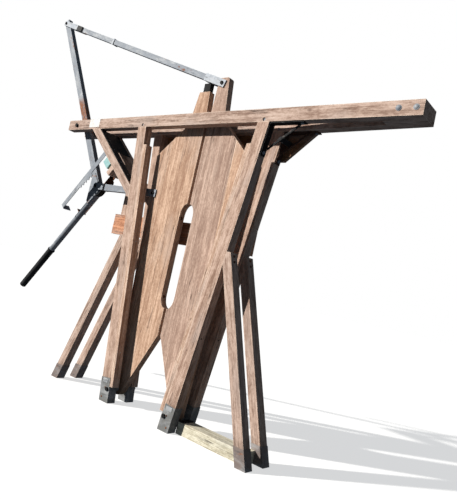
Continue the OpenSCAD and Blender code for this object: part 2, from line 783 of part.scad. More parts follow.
module crank_arm()
  color(zinc) difference() {
    aim(low_pin, arm_angle) box_section(-arm_end + 8, arm_down + arm_up + arm_end, arm_w, bar_t, bar_wall);
    round_y(crank, crank_bush_d, -bar_t, bar_t);
    for (at = [top_pin, low_pin]) round_y(at, pin_bush_d, -bar_t, bar_t);
    pipe_solid();
  }

module crank_bushes()
  color(zinc) {
    tube_y(crank, crank_bush_d, crank_bolt_d + 2 * run_gap, -bar_t / 2, bar_t / 2);
    tube_y(top_pin, pin_bush_d, pin_d + 2 * run_gap, -bar_t / 2, bar_t / 2);
    difference() {
      tube_y(low_pin, pin_bush_d, pin_d + 2 * run_gap, -bar_t / 2, bar_t / 2);
      pipe_solid();
    }
  }

cheek_t = 6;
cheek_arm = 150;
cheek_pipe = 190;
module cheek_plates()
  color(zinc) for (flip = [0, 1]) mirror([0, flip, 0]) difference() {
    slab([low_pin + arm_dir * cheek_arm + turned_left(arm_dir) * 20,
          low_pin + arm_dir * cheek_arm - turned_left(arm_dir) * 20,
          low_pin - turned_left(arm_dir) * 34,
          handle_top + handle_dir * 20 + turned_left(handle_dir) * 20,
          handle_top + handle_dir * cheek_pipe + turned_left(handle_dir) * 14,
          handle_top + handle_dir * cheek_pipe - turned_left(handle_dir) * 28],
         -bar_t / 2 - cheek_t, -bar_t / 2);
    round_y(low_pin, pin_d + 2 * run_gap, -bar_t, 0);
    pipe_solid();
  }

module handle_pipe()
  color(zinc) difference() {
    pipe_solid();
    round_xz(handle_top + handle_dir * handle_wall, 180 + handle_slope,
             handle_len - 2 * handle_wall, handle_d - 2 * handle_wall);
  }

module rubber_grip() {
  start = handle_top + handle_dir * (handle_len - grip_len);
  color(black_rubber) difference() {
    round_xz(start, 180 + handle_slope, grip_len + grip_wall, handle_d + 2 * grip_wall);
    round_xz(start - handle_dir, 180 + handle_slope, grip_len + 1, handle_d + 2 * snug);
  }
}

fork_gap = 7;
plate_t = 8;
head_t = 9;
link_half = bar_t / 2 + fork_gap;
pin_reach = link_half + plate_t;
// Pin through a fork, with a head at the front and a nut at the back.
module fork_pin(at, reach) {
  round_y(at, pin_d, -reach - 1, reach + 1);
  hex_y(at, pin_d * 1.6, -reach - head_t, -reach - side_gap);
  hex_y(at, pin_d * 1.6, reach + side_gap, reach + head_t);
}

module link_pins()
  color(black_steel) {
    fork_pin(top_pin, pin_reach);
    fork_pin(low_pin, pin_reach);
  }

// Top link, from the crank's top pin to the right door's tongue
tongue_at = [78, right_tongue_top - 47];
top_link_len = norm(tongue_at - top_pin);
top_link_angle = atan2(tongue_at[1] - top_pin[1], tongue_at[0] - top_pin[0]);
fork_end = 34;
top_fork_left = 372;
top_fork_right = 225;
top_stub = 96;
collar_at = 1043;
collar_len = 26;
module top_link()
  color(zinc) aim(top_pin, top_link_angle)
    box_section(top_fork_left, top_link_len - top_fork_right, link_w, bar_t, bar_wall);

// One fork: two plates from beyond the pin, and the block between them that they are welded to.
module fork(pin_x, dir, len, stub, w) {
  x0 = dir > 0 ? pin_x - fork_end : pin_x - len;
  for (y = [-link_half - plate_t, link_half])
    translate([x0, y, -w / 2]) cube([len + fork_end, plate_t, w]);
  translate([dir > 0 ? pin_x + len - stub : pin_x - len, -link_half, -w / 2])
    cube([stub, 2 * link_half, w]);
}

module top_link_forks()
  color(black_steel) difference() {
    aim(top_pin, top_link_angle) {
      fork(0, 1, top_fork_left, top_stub, link_w + 6);
      fork(top_link_len, -1, top_fork_right, top_stub, link_w + 14);
      difference() {
        translate([collar_at, -link_half, -link_w / 2 - 6]) cube([collar_len, 2 * link_half, link_w + 12]);
        translate([collar_at - 1, -bar_t / 2 - snug, -link_w / 2 - snug])
          cube([collar_len + 2, bar_t + 2 * snug, link_w + 2 * snug]);
      }
    }
    round_y(top_pin, pin_d + 2 * run_gap, -100, 100);
    round_y(tongue_at, pin_d + 2 * run_gap, -100, 100);
  }

module tongue_pin() color(black_steel) fork_pin(tongue_at, pin_reach);

// A door's outer edge, on the right
foot_centre = [foot_bolt_x, foot_bolt_z];
// Point where a straight edge from p touches the foot's circle, on the left or right side of it.
function touch(p, side) =
  let (v = foot_centre - p, d = norm(v), a = asin(door_foot_r / d), base = atan2(v[1], v[0]))
  p + way(base + side * a) * sqrt(d * d - door_foot_r * door_foot_r);

door_corner = [door_out, shoulder_z];
outer_touch = touch(door_corner, 1);
function door_edge_x(z) =
  outer_touch[0] + (door_out - outer_touch[0]) * (z - outer_touch[1]) / (shoulder_z - outer_touch[1]);

// Lower link, from the crank's lower pin to the left door
door_pin_z = shoulder_z - 341;
door_pin_in = 44;
door_pin_at = [door_pin_in - door_edge_x(door_pin_z), door_pin_z];
low_link_len = norm(door_pin_at - low_pin);
low_link_angle = atan2(door_pin_at[1] - low_pin[1], door_pin_at[0] - low_pin[0]);
low_fork_left = 118;
low_fork_right = 112;
low_stub = 40;
module tapered_box(x0, x1, w0, w1, t, wall)
  difference() {
    slab([[x0, -w0 / 2], [x1, -w1 / 2], [x1, w1 / 2], [x0, w0 / 2]], -t / 2, t / 2);
    slab([[x0 + wall, wall - w0 / 2], [x1 - wall, wall - w1 / 2],
          [x1 - wall, w1 / 2 - wall], [x0 + wall, w0 / 2 - wall]], wall - t / 2, t / 2 - wall);
  }

module lower_link()
  color(zinc) aim(low_pin, low_link_angle)
    tapered_box(low_fork_left, low_link_len - low_fork_right, low_link_w, low_link_end_w, bar_t, bar_wall);

module lower_link_forks()
  color(zinc) difference() {
    aim(low_pin, low_link_angle) {
      fork(0, 1, low_fork_left, low_stub, low_link_w);
      fork(low_link_len, -1, low_fork_right, low_stub, low_link_end_w + 20);
    }
    round_y(low_pin, pin_d + 2 * run_gap, -100, 100);
    round_y(door_pin_at, pin_d + 2 * run_gap, -100, 100);
  }

module door_pin() color(black_steel) fork_pin(door_pin_at, pin_reach);

// Doors, drawn as the right-hand one
slit = door_slit / 2;
neck = neck_w / 2;
neck_round = 24;
vee_touch = touch([slit, vee_z], -1);
shoulder_rise = 238;
tongue_root = [200, beam_top - 50];

// Edge of the neck slot: full width between neck_low and neck_high, eased to the slit at both ends
// along a quarter of a cosine wave.
ease_steps = 10;
neck_edge = concat(
  [for (k = [0 : ease_steps]) let (a = 90 * k / ease_steps)
     [slit + (neck - slit) * sin(a), neck_low - neck_end * cos(a)]],
  [for (k = [0 : ease_steps]) let (a = 90 * k / ease_steps)
     [slit + (neck - slit) * cos(a), neck_high + neck_end * sin(a)]]);

function door_outline(tongue) = concat(
  [vee_touch, [slit, vee_z]], neck_edge, [[slit, beam_low]], tongue,
  [tongue_root, [door_out - 266, shoulder_z + shoulder_rise], door_corner, outer_touch]);

tongue_waist = beam_top + 60;
right_tongue = [[22, tongue_waist], [34, right_tongue_top - 12], [46, right_tongue_top],
                [133, right_tongue_top], [145, right_tongue_top - 12], [176, tongue_waist]];
left_tongue = [[30, tongue_waist], [45, left_tongue_top], [162, left_tongue_top], [191, tongue_waist - 8]];

rod_z = [neck_low - 17, neck_high - 16];
rod_sink = 14;
function slot_edge_x(z) = z < neck_low ? slit + (neck - slit) * sin(acos((neck_low - z) / neck_end)) : neck;

module door_solid(tongue)
  difference() {
    union() {
      slab(door_outline(tongue), -door_t / 2, door_t / 2);
      round_y(foot_centre, 2 * door_foot_r, -door_t / 2, door_t / 2);
    }
    round_y(foot_centre, spacer_tube_d, -door_t, door_t);
    for (z = rod_z) {
      round_xz([0, z], 0, door_out + 50, rod_d + hole_gap);
      round_xz([0, z], 0, slot_edge_x(z) + rod_sink, rod_d * 2.6);
      round_xz([door_edge_x(z) - rod_sink, z], 0, 100, rod_d * 2.6);
    }
  }

module board_half()
  block(0, joint_x, -door_t, door_t, 0, beam_top + 500);

module edge_half()
  block(joint_x, joint_x + 400, -door_t, door_t, 0, beam_top + 500);

module door_fittings() {
  color(zinc) tube_y(foot_centre, spacer_tube_d, foot_bolt_d + 2 * run_gap, -door_t / 2, door_t / 2);
  color(rust) for (z = rod_z) {
    x0 = slot_edge_x(z) + rod_sink;
    x1 = door_edge_x(z) - rod_sink;
    round_xz([x0 - 10, z], 0, x1 - x0 + 20, rod_d);
    round_xz([x0 - 3, z], 0, 3, rod_d * 2.4);
    round_xz([x1, z], 0, 3, rod_d * 2.4);
    for (x = [x0 - 13, x1 + 3]) translate([x, 0, z]) rotate([0, 90, 0]) cylinder(h = 10, d = rod_d * 1.9, $fn = 6);
  }
}

tongue_slack = 17;
door_slack = 17;

module right_door_board()
  color(door_timber) difference() {
    intersection() {
      door_solid(right_tongue);
      board_half();
    }
    round_y(tongue_at, pin_d + 2 * tongue_slack, -door_t, door_t);
  }

module right_door_edge_board()
  color(door_timber) intersection() {
    door_solid(right_tongue);
    edge_half();
  }

module right_door_fittings() door_fittings();

module left_door_board()
  color(door_timber) mirror([1, 0, 0]) intersection() {
    door_solid(left_tongue);
    board_half();
  }

module left_door_edge_board()
  color(door_timber) difference() {
    mirror([1, 0, 0]) intersection() {
      door_solid(left_tongue);
      edge_half();
    }
    round_y(door_pin_at, pin_d + 2 * door_slack, -door_t, door_t);
  }

module left_door_fittings() mirror([1, 0, 0]) door_fittings();

liner_front = [front_out, front_out + liner_d];
liner_rear = [rear_out - liner_d, rear_out];

front_beam();
rear_beam();
beam_spacer();
beam_bolts();
name_plate();
left_leg(front_out, front_in);  // front_left_leg
right_leg(front_out, front_in);  // front_right_leg
left_leg(rear_in, rear_out);  // rear_left_leg
right_leg(rear_in, rear_out);  // rear_right_leg
left_liner(liner_front[0], liner_front[1]);  // front_left_liner
right_liner(liner_front[0], liner_front[1], (front_out + front_in) / 2);  // front_right_liner
left_liner(liner_rear[0], liner_rear[1]);  // rear_left_liner
right_liner(liner_rear[0], liner_rear[1], (rear_out + rear_in) / 2);  // rear_right_liner
left_strut(front_out, front_in);  // front_left_strut
strut(front_out, front_in);  // front_right_strut
left_strut(rear_in, rear_out);  // rear_left_strut
strut(rear_in, rear_out);  // rear_right_strut
screws_and_nails();
leg_shoes();
strut_shoes();
sill();
sill_cleat();
rear_rail();
rear_post();
head_board();
brace(front_out, front_in);  // front_brace
brace(rear_in, rear_out);  // rear_brace
rubber_sheet();
rubber_nails();
packing_block();
corner_bracket(front_out, front_in);  // front_corner_bracket
mirror([0, 1, 0]) corner_bracket(front_out, front_in);  // rear_corner_bracket
door_stop_bar();
bracket_bolts();
rack_block();
front_rack();
rear_rack();
rack_bolts();
foot_bolts();
foot_spacers();
crank_bolt();
crank_spacers();
crank_arm();
crank_bushes();
cheek_plates();
handle_pipe();
rubber_grip();
link_pins();
top_link();
top_link_forks();
tongue_pin();
lower_link();
lower_link_forks();
door_pin();
left_door_board();
left_door_edge_board();
left_door_fittings();
right_door_board();
right_door_edge_board();
right_door_fittings();
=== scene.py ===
"""Looks for a free-standing timber cattle head gate with its steel opening gear.

X runs along the beams, Y from the front face to the back, Z up, in metres. Timber keeps its
shape from the frame and gets grain along its own length. Weld beads, nails, clips, straps and
rubber trim are modelled here as swept profiles.
"""
import json
import math

import bpy
import numpy as np
from mathutils import Matrix, Vector


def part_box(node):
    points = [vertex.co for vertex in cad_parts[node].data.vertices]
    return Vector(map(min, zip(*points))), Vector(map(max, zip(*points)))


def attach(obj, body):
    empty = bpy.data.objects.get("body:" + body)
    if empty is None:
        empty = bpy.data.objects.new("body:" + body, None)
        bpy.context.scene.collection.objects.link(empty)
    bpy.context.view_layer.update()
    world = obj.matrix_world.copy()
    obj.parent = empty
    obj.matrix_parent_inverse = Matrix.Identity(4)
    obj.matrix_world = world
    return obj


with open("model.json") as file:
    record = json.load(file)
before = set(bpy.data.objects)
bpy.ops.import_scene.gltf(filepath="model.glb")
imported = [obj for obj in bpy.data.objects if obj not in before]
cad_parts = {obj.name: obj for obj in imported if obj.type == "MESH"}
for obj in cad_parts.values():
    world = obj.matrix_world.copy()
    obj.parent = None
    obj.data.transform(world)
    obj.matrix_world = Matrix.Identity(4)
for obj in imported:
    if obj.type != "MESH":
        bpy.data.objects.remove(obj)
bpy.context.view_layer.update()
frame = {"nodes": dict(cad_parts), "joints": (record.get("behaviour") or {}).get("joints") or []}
NODES = frame["nodes"]
JOINT = {j["name"]: j for j in frame["joints"]}


# ---------------------------------------------------------------- camera, light and floor

def add_camera():
    """A camera in front and to the right, at eye height, tilted up a little and rolled."""
    forward = Vector((-0.637, 0.7679, 0.0674)).normalized()
    up = Vector((-0.1219, -0.1867, 0.9748))
    right = forward.cross(up).normalized()
    up = right.cross(forward)
    data = bpy.data.cameras.new("camera")
    data.sensor_fit = "HORIZONTAL"
    data.sensor_width = 36.0
    data.lens = 41.15
    data.clip_end = 200.0
    camera = bpy.data.objects.new("camera", data)
    turn = Matrix((right, up, -forward)).transposed().to_4x4()
    camera.matrix_world = Matrix.Translation((3.046, -3.071, 1.156)) @ turn
    bpy.context.scene.collection.objects.link(camera)
    bpy.context.scene.camera = camera


SUN_POWER = 6.2
SKY_POWER = 0.14
SUN_FROM = Vector((-0.57, -0.72, 0.40))


def add_lights():
    """A soft sun from the front left, high up, under a plain pale sky."""
    data = bpy.data.lights.new("sun", "SUN")
    data.energy = SUN_POWER
    data.angle = math.radians(1.6)
    data.color = (1.0, 0.965, 0.91)
    sun = bpy.data.objects.new("sun", data)
    sun.rotation_euler = SUN_FROM.to_track_quat("Z", "Y").to_euler()
    bpy.context.scene.collection.objects.link(sun)
    world = bpy.data.worlds.new("sky")
    bpy.context.scene.world = world
    world.use_nodes = True
    tree = world.node_tree
    plain = tree.nodes["Background"]
    plain.inputs["Color"].default_value = (0.70, 0.84, 1.0, 1.0)
    plain.inputs["Strength"].default_value = SKY_POWER
    seen = tree.nodes.new("ShaderNodeBackground")
    seen.inputs["Color"].default_value = (1.0, 1.0, 1.0, 1.0)
    path = tree.nodes.new("ShaderNodeLightPath")
    mix = tree.nodes.new("ShaderNodeMixShader")
    tree.links.new(path.outputs["Is Camera Ray"], mix.inputs[0])
    tree.links.new(plain.outputs[0], mix.inputs[1])
    tree.links.new(seen.outputs[0], mix.inputs[2])
    tree.links.new(mix.outputs[0], tree.nodes["World Output"].inputs["Surface"])
    bpy.context.scene.view_settings.view_transform = "Standard"


# ---------------------------------------------------------------- shader maths

def paint(red, green, blue):
    """Linear colour of an 8-bit screen colour."""
    def linear(c):
        c = c / 255.0
        return c / 12.92 if c <= 0.04045 else ((c + 0.055) / 1.055) ** 2.4
    return (linear(red), linear(green), linear(blue), 1.0)


class Value:
    """A shader socket on which arithmetic adds Math nodes."""

    def __init__(self, shader, socket):
        self.shader = shader
        self.socket = socket

    def _maths(self, operation, first, second):
        return self.shader.node("ShaderNodeMath", {"operation": operation}, {0: first, 1: second})

    def __add__(self, other):
        return self._maths("ADD", self, other)

    __radd__ = __add__

    def __sub__(self, other):
        return self._maths("SUBTRACT", self, other)

    def __rsub__(self, other):
        return self._maths("SUBTRACT", other, self)

    def __mul__(self, other):
        return self._maths("MULTIPLY", self, other)

    __rmul__ = __mul__

    def __truediv__(self, other):
        return self._maths("DIVIDE", self, other)

    def __abs__(self):
        return self._maths("ABSOLUTE", self, 0.0)


class Shader:
    """One material. node() adds a node of any type and returns its first output."""

    def __init__(self, name):
        self.material = bpy.data.materials.new(name)
        self.material.use_nodes = True
        self.tree = self.material.node_tree
        self.bsdf = self.tree.nodes["Principled BSDF"]
        self.place = self.node("ShaderNodeTexCoord", output="Object")

    def node(self, kind, settings=None, values=None, output=0):
        made = self.tree.nodes.new(kind)
        for key, setting in (settings or {}).items():
            if key == "stops":
                self._stops(made.color_ramp, setting)
            else:
                setattr(made, key, setting)
        for key, value in (values or {}).items():
            if isinstance(value, Value):
                self.tree.links.new(value.socket, made.inputs[key])
            else:
                made.inputs[key].default_value = value
        return Value(self, made.outputs[output])

    @staticmethod
    def _stops(ramp, stops):
        while len(ramp.elements) < len(stops):
            ramp.elements.new(1.0)
        for element, (place, colour) in zip(ramp.elements, stops):
            element.position = place
            element.color = colour

    def ramp(self, value, stops):
        return self.node("ShaderNodeValToRGB", {"stops": stops}, {"Fac": value})

    def smooth(self, value, low, high):
        """0 below low, 1 above high, eased between them. low may be the larger of the two."""
        return self.node("ShaderNodeMapRange", {"interpolation_type": "SMOOTHSTEP"},
                         {"Value": value, "From Min": low, "From Max": high})

    def mix(self, share, first, second, blend="MIX"):
        return self.node("ShaderNodeMix", {"data_type": "RGBA", "blend_type": blend},
                         {0: share, 6: first, 7: second}, output=2)

    def stretched(self, place, scale):
        return self.node("ShaderNodeVectorMath", {"operation": "MULTIPLY"}, {0: place, 1: scale})

    def noise(self, place, scale, detail=3.0, rough=0.55, warp=0.0):
        return self.node("ShaderNodeTexNoise", None,
                         {"Vector": self.stretched(place, scale), "Scale": 1.0, "Detail": detail,
                          "Roughness": rough, "Distortion": warp})

    def turned(self, grain, centre=(0.0, 0.0, 0.0)):
        """Place turned about Y so that its X runs at the angle grain, in degrees up from +X."""
        angle = math.radians(grain)
        return self.node("ShaderNodeMapping", None,
                         {"Vector": self.place, "Rotation": (0.0, angle, 0.0), "Location": centre})

    def parts(self, place):
        split = self.tree.nodes.new("ShaderNodeSeparateXYZ")
        self.tree.links.new(place.socket, split.inputs[0])
        return [Value(self, s) for s in split.outputs]

    def edges(self, radius):
        """1 at a sharp edge, 0 away from it: how far a bevelled normal leaves the true one."""
        bent = self.node("ShaderNodeBevel", {"samples": 4}, {"Radius": radius})
        true = self.node("ShaderNodeNewGeometry", output="True Normal")
        agree = self.node("ShaderNodeVectorMath", {"operation": "DOT_PRODUCT"},
                          {0: bent, 1: true}, output="Value")
        return self.smooth(agree, 0.995, 0.80)

    def finish(self, colour, rough, metal=0.0, height=None, depth=0.001, strength=1.0, **extra):
        inputs = dict({"Base Color": colour, "Roughness": rough, "Metallic": metal}, **extra)
        for name, value in inputs.items():
            if isinstance(value, Value):
                self.tree.links.new(value.socket, self.bsdf.inputs[name])
            else:
                self.bsdf.inputs[name].default_value = value
        if height is not None:
            bump = self.node("ShaderNodeBump", None,
                             {"Height": height, "Distance": depth, "Strength": strength})
            self.tree.links.new(bump.socket, self.bsdf.inputs["Normal"])
        return self.material


# ---------------------------------------------------------------- materials

SAWN = dict(light=paint(206, 186, 174), mid=paint(180, 156, 142), dark=paint(126, 100, 86),
            grey=paint(162, 146, 138), saw=0.8, mottle=1.0)
LEG = dict(SAWN, light=paint(208, 186, 172), mid=paint(184, 157, 141), dark=paint(130, 102, 86))
LINER = dict(SAWN, light=paint(230, 212, 198), mid=paint(208, 182, 164), dark=paint(156, 124, 104),
             saw=0.3, mottle=0.6)
BOARD = dict(SAWN, light=paint(222, 194, 170), mid=paint(202, 170, 146), dark=paint(146, 112, 90),
             grey=paint(182, 160, 146), saw=0.1, mottle=0.6)
PINK_BOARD = dict(BOARD, light=paint(214, 190, 174), mid=paint(192, 165, 149), dark=paint(136, 110, 96))
RAIL = dict(SAWN, light=paint(214, 166, 134), mid=paint(196, 140, 108), dark=paint(136, 88, 62),
            saw=0.5)
BLEACHED = dict(SAWN, light=paint(232, 228, 212), mid=paint(210, 204, 184), dark=paint(158, 150, 128),
                grey=paint(200, 200, 190), saw=0.2)
# The head board's tone is darker than the other timber: painted shade, for a board that sits in shade
# under the beams.
SHADED_HEAD_BOARD = dict(SAWN, light=paint(170, 132, 100), mid=paint(136, 98, 70), dark=paint(92, 62, 44))


def wood(name, grain, seed, tone, foot=0.0):
    """Weathered hardwood: long fibres, figure, mottled grey, saw marks, drying cracks and bright
    edges, partly wear and partly a painted highlight. foot is the height under which the
    timber is dark with damp and moss."""
    s = Shader(name)
    place = s.turned(grain, (seed * 1.37, seed * 0.71, seed * 2.13))
    fibre = s.noise(place, (3.5, 130.0, 130.0), 6.0, 0.7)
    streak = s.noise(place, (1.6, 38.0, 38.0), 4.0, 0.6, 0.4)
    figure = s.noise(place, (0.7, 9.0, 9.0), 3.0, 0.5, 0.8)
    mottle = s.noise(place, (9.0, 30.0, 30.0), 5.0, 0.75)
    blotch = s.noise(place, (2.2, 7.0, 7.0), 3.0, 0.5)
    speckle = s.noise(place, (42.0, 95.0, 95.0), 4.0, 0.7)
    shade = fibre * 0.28 + streak * 0.22 + figure * 0.10 + speckle * 0.22
    shade = shade + mottle * (0.34 * tone["mottle"])
    shade = s.smooth(shade, 0.38 + 0.08 * tone["mottle"], 0.70 + 0.08 * tone["mottle"])
    colour = s.ramp(shade, [(0.0, tone["dark"]), (0.42, tone["mid"]), (1.0, tone["light"])])
    colour = s.mix(s.smooth(blotch, 0.50, 0.72) * 0.55, colour, tone["grey"])
    saw = saw_marks(s, place, tone["saw"])
    colour = s.mix(saw * (0.30 * tone["saw"]), colour, tone["dark"])
    crack = s.noise(place, (0.8, 26.0, 26.0), 2.0, 0.5, 0.5)
    crack = s.smooth(abs(crack - 0.5), 0.010, 0.0) * s.smooth(blotch, 0.42, 0.56)
    colour = s.mix(crack * 0.8, colour, paint(52, 34, 24))
    pith = knots(s, place)
    colour = s.mix(pith * 0.75, colour, paint(78, 50, 36))
    # Bright edges: partly wear, partly a painted highlight where the rounded edges catch the light.
    wear_and_highlight = s.edges(0.006) * (streak * 0.7 + 0.3)
    colour = s.mix(wear_and_highlight * 0.75, colour, paint(250, 232, 212))
    if foot:
        colour = damp_foot(s, colour, mottle, foot)
    height = fibre * 0.5 + streak * 0.5 + mottle * 0.3 + saw * (0.5 * tone["saw"]) - crack * 2.0
    return s.finish(colour, 0.88 - fibre * 0.12, height=height, depth=0.0016,
                    strength=0.75, **{"Specular IOR Level": 0.25})


def saw_marks(s, place, amount):
    """Arcs left by a circular saw: close bands across the timber, broken up by a slow noise."""
    wave = s.node("ShaderNodeTexWave", {"wave_type": "BANDS", "bands_direction": "X"},
                  {"Vector": s.stretched(place, (1.0, 0.0, 0.55)), "Scale": 24.0,
                   "Distortion": 2.5, "Detail": 3.0, "Detail Scale": 3.0}, output="Fac")
    patch = s.smooth(s.noise(place, (1.8, 5.0, 5.0), 2.0), 0.42, 0.66)
    return s.smooth(wave, 0.62, 0.95) * patch * min(1.0, amount)


def knots(s, place):
    """A few dark knots: the middles of far-apart cells in a field squeezed along the grain."""
    cell = s.node("ShaderNodeTexVoronoi", {"feature": "F1"},
                  {"Vector": s.stretched(place, (2.2, 4.5, 4.5)), "Scale": 1.0}, output="Distance")
    return s.smooth(cell, 0.085, 0.03)


def damp_foot(s, colour, mottle, foot):
    """Darkens and greens the timber towards the ground."""
    _, _, up = s.parts(s.place)
    low = s.smooth(up + (mottle - 0.5) * 0.16, foot, 0.02)
    colour = s.mix(low * 0.75, colour, paint(66, 52, 40))
    moss = s.smooth(mottle, 0.50, 0.64) * s.smooth(up, foot * 0.7, 0.0)
    return s.mix(moss * 0.8, colour, paint(82, 84, 48))


def zinc(name, rust=0.35, grain=0.0, base=paint(126, 132, 140), rust_low=None, black=None):
    """Galvanised steel gone dull: crystal blotches, pale bloom, grime, spots of rust and pale
    edges, partly wear and partly a painted highlight.
    rust_low is a height range of heavy rust; black is a range along the grain that is painted."""
    s = Shader(name)
    place = s.turned(grain)
    along, _, _ = s.parts(place)
    _, _, up = s.parts(s.place)
    crystal = s.node("ShaderNodeTexVoronoi", {"feature": "F1"},
                     {"Vector": s.stretched(place, (60.0, 60.0, 60.0)), "Scale": 1.0}, output="Color")
    crystal = s.parts(crystal)[0]
    bloom = s.noise(place, (5.0, 14.0, 14.0), 5.0, 0.65, 0.6)
    grime = s.noise(place, (9.0, 40.0, 40.0), 5.0, 0.7)
    colour = s.mix(s.smooth(bloom, 0.44, 0.72) * 0.7, base, paint(172, 174, 176))
    colour = s.mix(crystal * 0.25, colour, paint(84, 92, 104))
    colour = s.mix(s.smooth(grime, 0.54, 0.70) * 0.65, colour, paint(60, 62, 66))
    spread = s.noise(place, (7.0, 18.0, 18.0), 6.0, 0.7)
    rusty = s.smooth(spread, 0.66 - 0.20 * rust, 0.76 - 0.14 * rust)
    if rust_low:
        band = s.smooth(up, rust_low[0], rust_low[0] + 0.05)
        band = band * s.smooth(up, rust_low[1], rust_low[1] - 0.16)
        rusty = rusty + band * s.smooth(spread, 0.34, 0.52)
    rusty = s.smooth(rusty, 0.0, 1.0)
    scale = s.noise(place, (70.0, 90.0, 90.0), 4.0, 0.7)
    rust_colour = s.ramp(scale, [(0.30, paint(80, 48, 34)), (0.52, paint(140, 90, 62)),
                                 (0.72, paint(180, 130, 100))])
    colour = s.mix(rusty * 0.9, colour, rust_colour)
    metal = 0.16 - rusty * 0.12
    if black:
        painted = s.smooth(along, black[0], black[0] + 0.004)
        painted = painted * s.smooth(along, black[1], black[1] - 0.004)
        colour = s.mix(painted, colour, paint(12, 12, 14))
        metal = metal * (1 - painted)
    # Pale edges: partly wear, partly a painted highlight where the edges catch the light.
    wear_and_highlight = s.edges(0.003) * s.smooth(grime, 0.42, 0.62)
    colour = s.mix(wear_and_highlight * 0.3, colour, paint(190, 194, 200))
    height = bloom * 0.3 + scale * (rusty * 0.9 + 0.1)
    return s.finish(colour, 0.62 + rusty * 0.25 + grime * 0.10, metal, height, 0.0009, 0.8,
                    **{"Specular IOR Level": 0.22})


def rust_steel(name, grain=0.0, dark=0.0):
    """Bare steel rusted all over, with darker mill scale left on it and bright edges, partly
    polished by wear and partly a painted highlight.
    """
    s = Shader(name)
    place = s.turned(grain)
    spread = s.noise(place, (8.0, 16.0, 16.0), 6.0, 0.7)
    scale = s.noise(place, (70.0, 90.0, 90.0), 5.0, 0.75)
    colour = s.ramp(scale, [(0.25, paint(52, 28, 18)), (0.50, paint(104, 60, 36)),
                            (0.75, paint(168, 108, 70))])
    old = s.smooth(spread, 0.62 - 0.25 * dark, 0.46 - 0.25 * dark)
    colour = s.mix((1 - old) * 0.75, colour, paint(50, 42, 40))
    # Bright edges: partly polished by wear, partly a painted highlight; also smoother and more metallic
    # there.
    wear_and_highlight = s.edges(0.004) * s.smooth(scale, 0.40, 0.60)
    colour = s.mix(wear_and_highlight * 0.6, colour, paint(176, 150, 132))
    return s.finish(colour, 0.85 - wear_and_highlight * 0.20, wear_and_highlight * 0.4, scale + spread * 0.4, 0.0009, 0.9,
                    **{"Specular IOR Level": 0.15})


def black_steel(name, worn_through=0.35):
    """Black painted steel: brush marks, dust, chips of grey and rust, and grey edges, partly
    wear and partly a painted highlight.
    """
    s = Shader(name)
    spread = s.noise(s.place, (14.0, 14.0, 14.0), 6.0, 0.7)
    fine = s.noise(s.place, (90.0, 90.0, 90.0), 4.0, 0.6)
    colour = s.mix(s.smooth(spread, 0.40, 0.70) * 0.5, paint(18, 18, 20), paint(46, 45, 45))
    chips = s.smooth(spread + fine * 0.3, 0.80 - 0.12 * worn_through, 0.86 - 0.12 * worn_through)
    bare = s.ramp(fine, [(0.35, paint(96, 54, 34)), (0.65, paint(150, 146, 142))])
    colour = s.mix(chips * 0.9, colour, bare)
    # Grey edges: partly paint wear, partly a painted highlight where the edges catch the light.
    wear_and_highlight = s.edges(0.004) * s.smooth(fine, 0.38, 0.58)
    colour = s.mix(wear_and_highlight * 0.5, colour, paint(130, 130, 130))
    return s.finish(colour, 0.60 + spread * 0.3, chips * 0.3, fine * 0.6 + spread * 0.4, 0.0006, 0.7,
                    **{"Specular IOR Level": 0.15})


def rubber(name):
    """Matt black conveyor rubber: faint moulded ribs, dust and scuffs."""
    s = Shader(name)
    dust = s.noise(s.place, (6.0, 6.0, 6.0), 6.0, 0.7)
    scuff = s.noise(s.place, (30.0, 120.0, 30.0), 5.0, 0.7, 1.0)
    colour = s.mix(s.smooth(dust, 0.38, 0.72) * 0.6, paint(24, 25, 27), paint(64, 64, 68))
    colour = s.mix(s.smooth(scuff, 0.62, 0.74) * 0.5, colour, paint(118, 116, 114))
    return s.finish(colour, 0.62 + dust * 0.25, height=scuff + dust * 0.5, depth=0.0008, strength=0.6,
                    **{"Specular IOR Level": 0.2})


def old_paint(name):
    """Pale sea-blue paint, chalky, rubbed back to grey timber."""
    s = Shader(name)
    spread = s.noise(s.place, (12.0, 30.0, 12.0), 6.0, 0.7)
    fine = s.noise(s.place, (40.0, 160.0, 60.0), 5.0, 0.7)
    colour = s.mix(s.smooth(fine, 0.4, 0.65) * 0.5, paint(122, 168, 170), paint(160, 196, 192))
    bare = s.smooth(spread + s.edges(0.006) * 0.12, 0.62, 0.67)
    colour = s.mix(bare, colour, paint(150, 132, 112))
    return s.finish(colour, 0.70 + bare * 0.15, height=fine * 0.4 - bare * 0.7, depth=0.001)


def blank_plate(name):
    """A plain pale enamel plate, a little chalky and dirty at its edges."""
    s = Shader(name)
    spread = s.noise(s.place, (30.0, 30.0, 30.0), 5.0, 0.65)
    colour = s.mix(s.smooth(spread, 0.42, 0.72) * 0.6, paint(206, 204, 202), paint(170, 160, 152))
    colour = s.mix(s.edges(0.006) * 0.6, colour, paint(128, 112, 98))
    return s.finish(colour, 0.45 + spread * 0.2, height=spread, depth=0.0003)


def floor_paint(name):
    """Plain pale floor that glows a little, so that shadows on it stay soft."""
    s = Shader(name)
    spread = s.noise(s.place, (0.6, 0.6, 0.6), 3.0)
    colour = s.mix(spread * 0.2, (0.52, 0.52, 0.52, 1.0), (0.50, 0.50, 0.50, 1.0))
    s.bsdf.inputs["Emission Strength"].default_value = 0.62
    s.bsdf.inputs["Emission Color"].default_value = (1.0, 1.0, 1.0, 1.0)
    return s.finish(colour, 0.9, **{"Specular IOR Level": 0.0})


